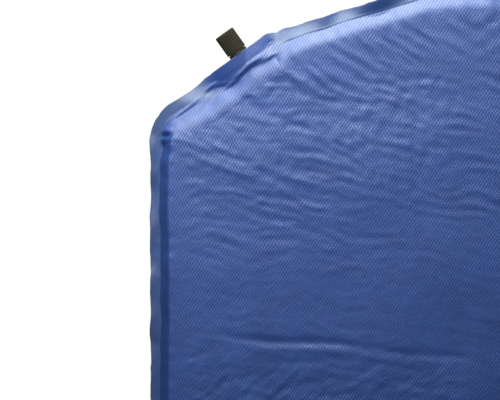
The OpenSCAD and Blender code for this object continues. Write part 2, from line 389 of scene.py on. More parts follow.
def boat(s, d):
    """Cloth carried over the weld fitting and its short nose: height over the weld."""
    e = s_dist(s, S_V)
    le = lens(e, 7.95, 35.0)
    lip = lip_at(e)
    over = 1 - 0.26 * smoothstep(lip + 2, lip + 5.5, d) - 0.74 * smoothstep(lip + 6, lip + 12, d)
    nose = np.sqrt(np.maximum(5.5**2 - e * e, 0)) * smoothstep(8, 11, d) * (1 - smoothstep(18.5, 21, d))
    return np.maximum(np.maximum(le * over, nose), tent(s, d))


def both(a, b, k=0.9):
    """The larger of two heights, with a soft join."""
    return np.logaddexp(a / k, b / k) * k - k * math.log(2) * np.exp(-(a + b) / 1.5)


# ---------------------------------------------------- wrinkles of the panel
# Named folds: (points, height, half width, lift at the far side).
FOLDS = []


def fold(h, w, *pts):
    FOLDS.append((h, w, np.array(pts, float)))


def build_folds():
    # x, y in millimetres. Negative heights are grooves.
    # comb below the head shoulder
    for h, w, *p in (
        (-1.1, 3.0, (-170, 881), (-158, 874), (-148, 866)),
        (-1.3, 3.2, (-161, 887), (-146, 882), (-134, 875), (-122, 871)),
        (-1.3, 3.4, (-143, 893), (-131, 887), (-120, 879), (-108, 871)),
        (-1.3, 3.6, (-124, 901), (-112, 893), (-100, 885), (-88, 879)),
        (-1.2, 3.4, (-105, 907), (-94, 901), (-82, 894), (-70, 888)),
        (-1.2, 3.6, (-82, 915), (-70, 907), (-58, 900), (-44, 895)),
        (-1.1, 3.4, (-56, 922), (-46, 912), (-34, 905), (-20, 899)),
        (-1.1, 3.6, (-30, 926), (-20, 915), (-8, 907), (8, 902)),
        (-1.0, 3.6, (0, 928), (8, 917), (20, 908), (34, 902)),
        (0.9, 2.6, (-158, 872), (-146, 864), (-138, 856)),
        (0.8, 2.6, (-182, 874), (-170, 866), (-162, 856)),
        (0.9, 2.8, (-146, 864), (-132, 852), (-120, 847), (-104, 843)),
        # longer sweeps across the upper panel
        (-1.2, 3.6, (-196, 855), (-172, 850), (-146, 843), (-118, 839), (-90, 837)),
        (1.0, 3.0, (-222, 850), (-208, 847), (-194, 842)),
        (-1.2, 3.2, (-219, 843), (-206, 837), (-192, 833)),
        (-1.0, 3.4, (-236, 828), (-222, 825), (-206, 818)),
        (-1.0, 3.6, (-200, 831), (-180, 822), (-160, 818), (-136, 814)),
        (-0.9, 3.6, (-218, 807), (-204, 799), (-190, 794)),
        (-1.0, 3.4, (-206, 812), (-186, 804), (-162, 796), (-140, 793), (-112, 791)),
        (0.9, 3.2, (-242, 786), (-230, 780), (-216, 774)),
        (-0.9, 3.6, (-262, 797), (-244, 793), (-222, 787), (-204, 784)),
        (-0.9, 3.8, (-190, 786), (-168, 778), (-140, 774), (-110, 776)),
        (0.8, 3.2, (-180, 774), (-160, 767), (-138, 765)),
        (-0.9, 3.6, (-270, 772), (-250, 770), (-226, 763), (-204, 759)),
        (-0.8, 3.6, (-196, 755), (-172, 750), (-146, 751), (-120, 747)),
        (0.8, 3.0, (-268, 761), (-258, 765), (-244, 765)),
        (0.9, 2.8, (-256, 741), (-246, 740), (-238, 735)),
        (-0.8, 3.4, (-268, 751), (-250, 749), (-232, 743), (-212, 741)),
        (-0.7, 3.6, (-140, 740), (-116, 737), (-92, 740)),
        # long crease across the middle
        (1.2, 3.0, (-250, 722), (-236, 719), (-222, 714), (-208, 711), (-196, 708)),
        (0.8, 2.8, (-196, 708), (-176, 707), (-150, 705), (-124, 705), (-104, 703)),
        (-0.8, 3.8, (-244, 714), (-226, 708), (-208, 704)),
        (0.7, 2.8, (-186, 693), (-172, 695), (-158, 696)),
        (0.8, 3.0, (-146, 680), (-134, 685), (-122, 689), (-108, 690)),
        (0.7, 3.0, (-272, 725), (-262, 727), (-252, 727)),
        (-0.6, 4.0, (-268, 702), (-240, 696), (-214, 694)),
        # dark creases low on the right
        (-1.0, 3.2, (-124, 645), (-112, 647), (-102, 649)),
        (-0.9, 3.0, (-134, 633), (-116, 631), (-92, 630)),
        # the major crease
        (-2.6, 4.2, (-236, 627), (-222, 623), (-206, 621), (-186, 619), (-150, 619)),
        (-2.8, 4.0, (-168, 619), (-144, 619), (-126, 618), (-112, 616)),
        (-1.9, 4.0, (-112, 616), (-92, 613), (-70, 610), (-40, 607), (-8, 605)),
        (0.9, 3.8, (-206, 613), (-180, 613), (-150, 613), (-122, 611), (-96, 607)),
        (-0.8, 4.0, (-190, 602), (-166, 601), (-140, 603), (-122, 607)),
        # diagonals a third of the way down, rising to the right
        (-1.5, 3.0, (-240, 574), (-234, 581), (-228, 587)),
        (-1.4, 3.2, (-226, 582), (-214, 586), (-202, 591)),
        (-1.4, 3.2, (-198, 585), (-188, 590), (-178, 594)),
        (-1.2, 3.2, (-190, 567), (-178, 575), (-164, 580)),
        (-1.2, 3.4, (-160, 574), (-146, 580), (-134, 587), (-120, 592)),
        (-1.1, 3.4, (-136, 566), (-122, 573), (-108, 577)),
        (-1.0, 3.4, (-262, 578), (-254, 585), (-246, 591), (-236, 595)),
        (-1.0, 3.4, (-118, 584), (-104, 590), (-88, 595)),
        (-1.0, 3.4, (-270, 603), (-256, 607), (-244, 612)),
        (-1.1, 3.2, (-230, 564), (-216, 568), (-204, 574)),
        (-1.0, 3.6, (-96, 570), (-80, 578), (-62, 584)),
    ):
        fold(h * (0.40 if p[0][1] > 640 else 0.46 if p[0][1] > 598 else 0.30), w * 0.85, *p)


build_folds()


# Folds near the valve: height, half width, then (e, d) points.
for h, w, *p in (
    (-1.5, 0.9, (-46, 12.4), (-40, 11.6), (-34, 12.6), (-28, 15.4)),
    (1.0, 1.3, (-44, 8.6), (-38, 8.0), (-33, 9.4)),
    (-0.9, 1.0, (-40, 4.6), (-34, 5.4), (-30, 7.6)),
    (0.8, 1.1, (-30, 12.0), (-24, 14.0)),
    (-1.5, 0.9, (-94, 9.2), (-86, 8.2), (-76, 9.2), (-68, 8.8), (-62, 9.2)),
    (-0.7, 0.9, (-82, 13.8), (-70, 14.0), (-60, 14.4), (-55, 15.6)),
    (-0.9, 0.9, (-76, 24.8), (-70, 24.0), (-62, 22.6), (-55, 20.6)),
    (0.8, 1.3, (-92, 12.4), (-80, 11.8), (-66, 11.8)),
    (-2.2, 1.0, (29, 6.6), (33, 7.6), (39, 8.2)),
    (-1.2, 1.0, (27, 10.0), (33, 9.6), (40, 10.6)),
    (1.0, 1.0, (30, 8.8), (37, 9.4)),
):
    fold(h, w, *[tuple(V0 + V_ALONG * a - V_OUT * (b + 1.2)) for a, b in p])


def folds_at(x, y):
    out = np.zeros_like(x)
    for h, w, pts in FOLDS:
        lo = pts.min(0) - 4 * w - 4
        hi = pts.max(0) + 4 * w + 4
        m = (x > lo[0]) & (x < hi[0]) & (y > lo[1]) & (y < hi[1])
        if not m.any():
            continue
        px, py = x[m], y[m]
        best = np.full(px.shape, 1e9)
        frac = np.zeros(px.shape)
        seglen = np.linalg.norm(np.diff(pts, axis=0), axis=1)
        cum = np.concatenate([[0], np.cumsum(seglen)])
        for k in range(len(pts) - 1):
            a, b = pts[k], pts[k + 1]
            ab = b - a
            t = ((px - a[0]) * ab[0] + (py - a[1]) * ab[1]) / (ab @ ab)
            t = np.clip(t, 0, 1)
            dd = np.hypot(px - a[0] - ab[0] * t, py - a[1] - ab[1] * t)
            better = dd < best
            best = np.where(better, dd, best)
            frac = np.where(better, (cum[k] + t * seglen[k]) / cum[-1], frac)
        taper = np.clip(np.sin(np.pi * np.clip(frac * 0.92 + 0.04, 0, 1)), 0, 1) ** 0.7
        out[m] += h * taper * np.exp(-((best / w) ** 2))
    return out


SWEEP = Field(21, 38, 5.2, -15, cell=1.0)
SWEEP2 = Field(22, 26, 3.9, -8, cell=1.0)
SIDE = Field(30, 24, 5.0, 30, cell=1.0)
DIAG = Field(23, 26, 4.8, 36, cell=1.0)
COMB = Field(24, 24, 5.4, -38, cell=1.0)
SOFT = Field(25, 90, 60, 20, cell=3, band=False)
CHOP = Field(26, 15, 4.6, -5, cell=1.0)
WARP = Field(27, 60, 60, 0, cell=3, band=False)
WARP2 = Field(28, 22, 22, 0, cell=2, band=False)
PATCH = Field(29, 55, 40, -15, cell=3, band=False)


def crest(n, k=0.6):
    """Noise with narrower crests than hollows, as slack cloth has."""
    n = 1.5 * np.tanh(n / 1.5)
    return (np.exp(k * n) - 1) / k - 0.2


def panel_wrinkles(x, y, d, s):
    xw = x + 4 * WARP(x, y) + 1.5 * WARP2(x, y)
    yw = y + 4 * WARP(x + 170, y + 90) + 1.0 * WARP2(x + 90, y + 40)
    inner = smoothstep(24, 40, d)
    # how much each family shows, along the mat
    up = smoothstep(690, 740, y) * (1 - smoothstep(862, 900, y))
    calm = bump(y - 650, 34) * bump(x + 190, 170)
    low = (1 - smoothstep(588, 612, y)) * smoothstep(430, 510, y)
    rest = 1 - smoothstep(470, 540, y)
    left = bump(x + 268, 24) * bump(y - 752, 44)
    patch = 0.80 + 0.30 * np.clip(PATCH(x, y), -1.5, 1.5)
    body = (0.20 * up + 0.09 * (1 - up)) * (1 - 0.6 * calm) * patch
    h = body * (1 - 0.7 * left) * (crest(SWEEP(xw, yw)) + 0.62 * crest(SWEEP2(xw, yw)))
    h = h + 0.17 * left * crest(SIDE(xw, yw))
    h = h + (0.13 * low + 0.08 * rest) * patch * crest(DIAG(xw, yw))
    h = h + 0.05 * CHOP(xw, yw) * (1 - 0.5 * calm)
    e = s_dist(s, S_V)
    head = smoothstep(14, 48, e) * (1 - smoothstep(520, 600, e))
    comb = head * smoothstep(20, 27, d) * (1 - smoothstep(50, 85, d))
    mirror = np.where(x > 0, -x, x)
    h = h * inner * (1 - 0.6 * comb) + comb * 0.36 * crest(COMB(mirror, y))
    # the surface rolls gently over the foam
    return h + 0.40 * SOFT(x, y) * smoothstep(20, 90, d)


def edge_field(pts):
    """Inset and edge position of points well inside the outline."""
    from mathutils.kdtree import KDTree

    sub = slice(None, None, 4)
    P, S, N = DP[sub], DS[sub], DN[sub]
    kd = KDTree(len(P))
    for i, p in enumerate(P):
        kd.insert((p[0], p[1], 0), i)
    kd.balance()
    d = np.empty(len(pts))
    s = np.empty(len(pts))
    for i, p in enumerate(pts):
        _, j, r = kd.find((p[0], p[1], 0))
        v = p - P[j]
        d[i] = abs(v @ N[j]) if r < 80 else r
        s[i] = S[j]
    return d, s


def relax_panel(x0, x1, y0, y1, cell=2.5, slack=0.06, side=0.004, frames=20, seed=5):
    """Cloth simulation of one slack area of the cover over the foam.

    The cloth is a little longer than the pad, mostly along the mat, so it buckles
    into folds; the foam bond is a soft pin. Returns the change of height it makes.
    """
    nx, ny = int((x1 - x0) / cell) + 1, int((y1 - y0) / cell) + 1
    X, Y = np.meshgrid(np.linspace(x0, x1, nx), np.linspace(y0, y1, ny))
    d, s = edge_field(np.column_stack([X.ravel(), Y.ravel()]))
    start = panel_wrinkles(X.ravel(), Y.ravel(), d, s) + folds_at(X.ravel(), Y.ravel())
    base = start
    g = np.random.default_rng(seed).standard_normal(X.shape)
    k = np.exp(-((np.arange(-4, 5) / 1.15) ** 2))
    for ax in (0, 1):
        g = np.apply_along_axis(lambda v: np.convolve(v, k / k.sum(), "same"), ax, g)
    up = smoothstep(735, 800, Y.ravel())
    fine = 0.065 + 0.13 * up + 0.05 * (1 - smoothstep(590, 612, Y.ravel()))
    start = (0.85 + 0.30 * up) * base + fine * (g / g.std()).ravel() * smoothstep(24, 36, d)
    co = np.column_stack([X.ravel(), Y.ravel(), start]) * 0.01
    idx = np.arange(nx * ny).reshape(ny, nx)
    q = np.stack([idx[:-1, :-1], idx[:-1, 1:], idx[1:, 1:], idx[1:, :-1]], -1).reshape(-1, 4)
    me = bpy.data.meshes.new("slack_cloth")
    me.from_pydata(co.tolist(), [], q.tolist())
    ob = bpy.data.objects.new("slack_cloth", me)
    bpy.context.scene.collection.objects.link(ob)
    ob.shape_key_add(name="Basis")
    key = ob.shape_key_add(name="rest")
    a = math.radians(75)
    u, v = np.array([math.cos(a), math.sin(a)]), np.array([-math.sin(a), math.cos(a)])
    mid = np.array([(x0 + x1) / 2, (y0 + y1) / 2])
    P = co[:, :2] * 100 - mid
    R = P + np.outer(P @ u, u) * slack + np.outer(P @ v, v) * side + mid
    key.data.foreach_set("co", (np.column_stack([R, start]) * 0.01).astype(np.float32).ravel())
    key.value = 0
    rim = np.minimum(np.minimum(X - x0, x1 - X), np.minimum(Y - y0, y1 - Y)).ravel()
    vg = ob.vertex_groups.new(name="bond")
    hold = (rim < 2 * cell) | (d < 22)
    vg.add([int(i) for i in np.where(hold)[0]], 1.0, "REPLACE")
    vg.add([int(i) for i in np.where(~hold)[0]], 0.22, "REPLACE")
    cl = ob.modifiers.new("Cloth", "CLOTH")
    st = cl.settings
    st.quality = 5
    st.mass = 0.15
    st.tension_stiffness = st.compression_stiffness = 80
    st.shear_stiffness = 40
    st.bending_stiffness = 0.12
    st.tension_damping = st.compression_damping = st.shear_damping = 5
    st.bending_damping = 0.5
    st.vertex_group_mass = "bond"
    st.pin_stiffness = 0.6
    st.rest_shape_key = ob.data.shape_keys.key_blocks["rest"]
    st.use_pressure = True
    st.uniform_pressure_force = 0.3
    st.effector_weights.gravity = 0
    cl.collision_settings.use_collision = False
    cl.collision_settings.use_self_collision = False
    cl.point_cache.frame_start, cl.point_cache.frame_end = 1, frames
    scene = bpy.context.scene
    for f in range(1, frames + 1):
        scene.frame_set(f)
    ev = ob.evaluated_get(bpy.context.evaluated_depsgraph_get())
    out = np.empty(len(co) * 3, np.float32)
    ev.data.vertices.foreach_get("co", out)
    dz = out.reshape(-1, 3)[:, 2] * 100 - base
    scene.frame_set(1)
    bpy.data.objects.remove(ob)
    bpy.data.meshes.remove(me)
    # no point moves more than 1.2 mm, and the change fades out at the border
    dz = 1.2 * np.tanh(dz / 1.2) * smoothstep(2 * cell, 12, rim)
    print("relaxed", nx * ny, "sd", round(float(dz.std()), 3), "min", round(float(dz.min()), 2), "max", round(float(dz.max()), 2))
    return (x0, y0, (x1 - x0) / (nx - 1), (y1 - y0) / (ny - 1), dz.reshape(ny, nx))


RELAXED = []
SLACK = 1.0


def relaxed_at(x, y):
    out = np.zeros(np.shape(x))
    for x0, y0, cx, cy, g in RELAXED:
        u, v = (x - x0) / cx, (y - y0) / cy
        m = (u >= 0) & (v >= 0) & (u < g.shape[1] - 1) & (v < g.shape[0] - 1)
        i, j = u[m].astype(int), v[m].astype(int)
        fu, fv = u[m] - i, v[m] - j
        out[m] = (g[j, i] * (1 - fu) + g[j, i + 1] * fu) * (1 - fv) + (
            g[j + 1, i] * (1 - fu) + g[j + 1, i + 1] * fu
        ) * fv
    return out


RELAXED = [relax_panel(-292, -8, 512, 872)]


PINCH = (  # x, y, depth, half length, half width, angle
    (-284.0, 813.6, -2.2, 5.0, 2.2, 8),
    (-285.2, 808.8, 4.6, 3.4, 1.7, 6),
    (-287.6, 804.6, -1.6, 3.0, 1.5, 10),
    (-288.0, 799.0, 4.2, 2.4, 3.2, 0),
    (-281.0, 800.0, -0.9, 3.0, 4.0, 0),
)


def pinches(x, y):
    out = np.zeros_like(x)
    for px, py, dep, ln, wd, ang in PINCH:
        m = (np.abs(x - px) < 30) & (np.abs(y - py) < 30)
        if not m.any():
            continue
        a = math.radians(ang)
        u = (x[m] - px) * math.cos(a) + (y[m] - py) * math.sin(a)
        v = -(x[m] - px) * math.sin(a) + (y[m] - py) * math.cos(a)
        out[m] -= dep * np.exp(-((u / ln) ** 2) - ((v / wd) ** 2))
    return out


def top_z(x, y, d, s):
    """Upper cloth: outer surface."""
    zw = weld_z(s, d)
    up = height_above(s, d)
    e = s_dist(s, S_V)
    w, sc = weld_in(s), wall_scale(s)
    # puckers that run in from the weld over the wall
    pw = smoothstep(w + 0.8, w + 5, d) * (1 - smoothstep(w + 9 * sc, w + 20 * sc, d))
    pk = (0.28 * crest(PUCK(s)) + 0.16 * PUCK2(s)) * pw
    flat = 0.10 * PUCK2(s) * smoothstep(2, 6, d) * (1 - smoothstep(w - 2, w, d))
    # seam line of the weld
    open_ = 1 - smoothstep(-48, -38, e) * (1 - smoothstep(34, 44, e))
    seam = 0.32 * np.exp(-(((d - w + 1.2) / 0.9) ** 2)) - 0.30 * np.exp(-(((d - w - 0.3) / 0.8) ** 2))
    k = in_loft(e)
    h = both(up, boat(s, d))
    h = h * (1 - k) + (loft(e, d) + ZW - zw) * k
    z = zw + h + 0.42 + (pk + flat) * (1 - 0.8 * k) + seam * open_ * (1 - 0.5 * k)
    z = z + folds_at(x, y) + panel_wrinkles(x, y, d, s) + pinches(x, y) * smoothstep(8.8, 11.0, d)
    z = z + SLACK * relaxed_at(x, y) * smoothstep(24, 36, d)
    return np.maximum(z, zw + 0.36)


def bottom_z(x, y, d, s):
    """Lower cloth: outer surface, resting flat on the floor."""
    zw = weld_z(s, d)
    w = weld_in(s)
    dn = (ZW - 0.5 + weld_lift(s, d)) * np.interp((d - w) / wall_scale(s), PX, PY)
    pw = smoothstep(w + 1, w + 7, d) * (1 - smoothstep(w + 12, w + 26, d))
    pk = (0.35 * PUCK(s + 400) + 0.2 * PUCK2(s + 300)) * pw
    m = both(dn, boat(s, d))
    z = zw - m - 0.42 + pk
    z = z + 0.25 * SWEEP2(x, y) * smoothstep(30, 60, d)
    z = np.minimum(z, zw - 0.36)
    return np.maximum(z, 0.02 + 0.15 * (1 - smoothstep(20, 40, d)))


# --------------------------------------------------------------- cloth grid
def spaced(a, b, fine_to, fine, coarse, grow=1.06):
    """Positions from a to b: fine steps up to fine_to, then growing to coarse."""
    out, x, step = [a], a, fine
    while x < b:
        if x > fine_to:
            step = min(coarse, step * grow)
        x += step
        out.append(x)
    out = np.array(out)
    return a + (out - a) * (b - a) / (out[-1] - a)


RINGS = [
    0, 0.8, 2.2, 4.0, 5.8, 7.2, 8.3, 9.2, 10.0, 10.8, 11.6, 12.5, 13.5, 14.5, 15.5, 16.5, 17.5,
    18.5, 19.6, 20.8, 22.2, 23.8, 25.8, 28.5, 32, 36,
]


def make_grid(fine_u, coarse_u, fine_v, coarse_v):
    """Rings round the edge and a four-sided patch inside them, all quads."""
    head = np.mod(S_HR - S_HL, PERIM)
    foot = np.mod(S_FL - S_FR, PERIM)
    left = np.mod(S_HL - S_FL, PERIM)
    right = np.mod(S_FR - S_HR, PERIM)
    u = spaced(0, head, 285, fine_u, coarse_u)
    nu = len(u) - 1
    v = spaced(0, left, 400, fine_v, coarse_v)[::-1]
    v = left - v  # fine near the head
    v = np.sort(v)
    nv = len(v) - 1
    s_left = S_FL + v
    s_head = S_HL + u
    s_right = S_HR + (left - v[::-1]) * right / left
    s_foot = S_FR + (head - u[::-1]) * foot / head
    s = np.concatenate([s_left[:-1], s_head[:-1], s_right[:-1], s_foot[:-1]])
    return np.mod(s, PERIM), nu, nv


def build_xy(s, nu, nv):
    P0, N = at_s(s)
    sh = edge_shift(s)
    d = np.array(RINGS)
    fade = 1 - smoothstep(0, 14, d)
    X = P0[None] + N[None] * (d[:, None, None] - (fade[:, None] * sh[None])[..., None])
    ring_s = np.repeat(s[None], len(d), 0)
    # inner patch
    inn = X[-1]
    L = inn[0 : nv + 1]
    H = inn[nv : nv + nu + 1]
    R = inn[nv + nu : 2 * nv + nu + 1][::-1]
    idx = np.r_[2 * nv + nu : 2 * nv + 2 * nu, 0]
    F = inn[idx][::-1]
    # parameters
    lu = np.concatenate([[0], np.cumsum(np.linalg.norm(np.diff(H, axis=0), axis=1))])
    lu /= lu[-1]
    lv = np.concatenate([[0], np.cumsum(np.linalg.norm(np.diff(L, axis=0), axis=1))])
    lv /= lv[-1]
    uu, vv = lu[None, :, None], lv[:, None, None]
    C = (
        (1 - uu) * L[:, None] + uu * R[:, None] + (1 - vv) * F[None] + vv * H[None]
        - (1 - uu) * (1 - vv) * F[0] - uu * (1 - vv) * F[-1]
        - (1 - uu) * vv * H[0] - uu * vv * H[-1]
    )
    return X, ring_s, C, d


def cloth(name, fine_u, coarse_u, fine_v, coarse_v, zfun, side):
    s, nu, nv = make_grid(fine_u, coarse_u, fine_v, coarse_v)
    X, RS, C, d = build_xy(s, nu, nv)
    nr, n = X.shape[:2]
    ring_d = np.repeat(d[:, None], n, 1)
    inner = C[1:-1, 1:-1]
    ip = inner.reshape(-1, 2)
    dd, ss = edge_field(ip)
    dd = np.maximum(dd, RINGS[-1])
    xy = np.concatenate([X.reshape(-1, 2), ip])
    dall = np.concatenate([ring_d.ravel(), dd])
    sall = np.concatenate([RS.ravel(), ss])
    z = zfun(xy[:, 0], xy[:, 1], dall, sall)
    verts = np.column_stack([xy, z])
    # rim: the cut edge turns down to the weld
    rim_s = s
    rim = np.column_stack([X[0], weld_z(rim_s, 0 * rim_s) + 0.02 * side])
    fit = lens(s_dist(rim_s, S_V), 7.55, 33.0)
    rim[:, 2] += side * fit
    base = len(verts)
    verts = np.concatenate([verts, rim])
    faces = []
    k = np.arange(n)
    k1 = (k + 1) % n
    quads = [np.column_stack([base + k, base + k1, k1, k])]
    for r in range(nr - 1):
        quads.append(np.column_stack([r * n + k, r * n + k1, (r + 1) * n + k1, (r + 1) * n + k]))
    off = (nr - 1) * n
    gi = np.empty((nv + 1, nu + 1), int)
    gi[:, 0] = off + np.arange(nv + 1)
    gi[-1, :] = off + nv + np.arange(nu + 1)
    gi[:, -1] = off + (nv + nu + np.arange(nv + 1))[::-1]
    foot = np.r_[2 * nv + nu : 2 * nv + 2 * nu, 0]
    gi[0, :] = off + foot[::-1]
    gi[1:-1, 1:-1] = nr * n + np.arange((nv - 1) * (nu - 1)).reshape(nv - 1, nu - 1)
    a, b = gi[:-1, :-1].ravel(), gi[1:, :-1].ravel()
    c, e = gi[1:, 1:].ravel(), gi[:-1, 1:].ravel()
    quads.append(np.column_stack([a, b, c, e]))
    q = np.concatenate(quads)
    if side > 0:
        q = q[:, ::-1]
    me = bpy.data.meshes.new(name)
    me.vertices.add(len(verts))
    me.vertices.foreach_set("co", (verts * MM).astype(np.float32).ravel())
    me.loops.add(q.size)
    me.loops.foreach_set("vertex_index", q.ravel().astype(np.int32))
    me.polygons.add(len(q))
    me.polygons.foreach_set("loop_start", (np.arange(len(q)) * 4).astype(np.int32))
    me.polygons.foreach_set("loop_total", np.full(len(q), 4, np.int32))
    me.update(calc_edges=True)
    me.validate()
    me.shade_smooth()
    w = np.concatenate([dall, np.zeros(n)])
    at = me.attributes.new("inset", "FLOAT", "POINT")
    at.data.foreach_set("value", w.astype(np.float32))
    sw = np.concatenate([weld_in(sall), weld_in(rim_s)])
    at = me.attributes.new("weld", "FLOAT", "POINT")
    press = 1 - smoothstep(sw - 0.6, sw + 0.8, w)
    sc = np.concatenate([wall_scale(sall), wall_scale(rim_s)])
    e_all = s_dist(np.concatenate([sall, rim_s]), S_V)
    fitting = smoothstep(-44, -33, e_all) * (1 - smoothstep(30, 38, e_all))
    at.data.foreach_set("value", (press * (1 - fitting)).astype(np.float32))
    # cloth drawn tight over the wall and the fitting, where the weave hardly shows
    wall = smoothstep(sw - 0.6, sw + 0.8, w) * (1 - smoothstep(sw + 7.5 * sc, sw + 11 * sc, w))
    # the side wall below the chamfer, which gets painted shade as if it faced away from the lamps
    shade_wall_zone = 1 - smoothstep(-116, -98, e_all)
    lip = lip_at(e_all)
    chamfer = smoothstep(-104, -88, e_all) * (1 - smoothstep(36, 46, e_all)) * (1 - smoothstep(26, 31, w))
    at = me.attributes.new("taut", "FLOAT", "POINT")
    at.data.foreach_set(
        "value", np.maximum(np.maximum(wall * 0.72, 0.88 * chamfer * (1 - press)), fitting * (1 - smoothstep(lip - 1, lip + 3, w))).astype(np.float32)
    )
    # painted shade: the "side" attribute darkens the cover's colour on that side wall, and paints the valve cap's
    # shadow onto the top cloth over the fitting
    at = me.attributes.new("side", "FLOAT", "POINT")
    xs = np.concatenate([xy[:, 0], rim[:, 0]])
    # painted shadow of the valve cap on the cloth over the fitting, left of the cap and inside its lip
    painted_cap_shadow = smoothstep(-46, -36, e_all) * (1 - smoothstep(-213.5, -210.5, xs)) * (1 - smoothstep(lip - 1, lip + 1.5, w))
    at.data.foreach_set("value", np.maximum(wall * shade_wall_zone, painted_cap_shadow * (side > 0)).astype(np.float32))
    ob = bpy.data.objects.new(name, me)
    bpy.context.scene.collection.objects.link(ob)
    print(name, "quads", len(q))
    return ob


# ---------------------------------------------------------------- materials
def new_mat(name):
    m = bpy.data.materials.new(name)
    m.use_nodes = True
    nt = m.node_tree
    for n in list(nt.nodes):
        nt.nodes.remove(n)
    out = nt.nodes.new("ShaderNodeOutputMaterial")
    bs = nt.nodes.new("ShaderNodeBsdfPrincipled")
    nt.links.new(bs.outputs[0], out.inputs[0])
    return m, nt, bs


def N(nt, kind, **kw):
    n = nt.nodes.new(kind)
    for k, v in kw.items():
        setattr(n, k, v)
    return n


def math_node(nt, op, a, b=None, c=None):
    n = nt.nodes.new("ShaderNodeMath")
    n.operation = op
    for i, v in enumerate((a, b, c)):
        if v is None:
            continue
        if isinstance(v, (int, float)):
            n.inputs[i].default_value = v
        else:
            nt.links.new(v, n.inputs[i])
    return n.outputs[0]


def mix_col(nt, fac, a, b):
    n = nt.nodes.new("ShaderNodeMix")
    n.data_type = "RGBA"
    if isinstance(fac, (int, float)):
        n.inputs[0].default_value = fac
    else:
        nt.links.new(fac, n.inputs[0])
    for i, v in ((6, a), (7, b)):
        if isinstance(v, tuple):
            n.inputs[i].default_value = (*v, 1)
        else:
            nt.links.new(v, n.inputs[i])
    return n.outputs[2]


def wave_at(nt, px, py, fx, fy, phase=0.0):
    """sin(2 pi (fx x + fy y) + phase), in cycles per millimetre."""
    k = 2 * math.pi * 1000
    a = math_node(nt, "MULTIPLY", px, fx * k)
    b = math_node(nt, "MULTIPLY_ADD", py, fy * k, a)
    return math_node(nt, "SINE", math_node(nt, "ADD", b, phase))


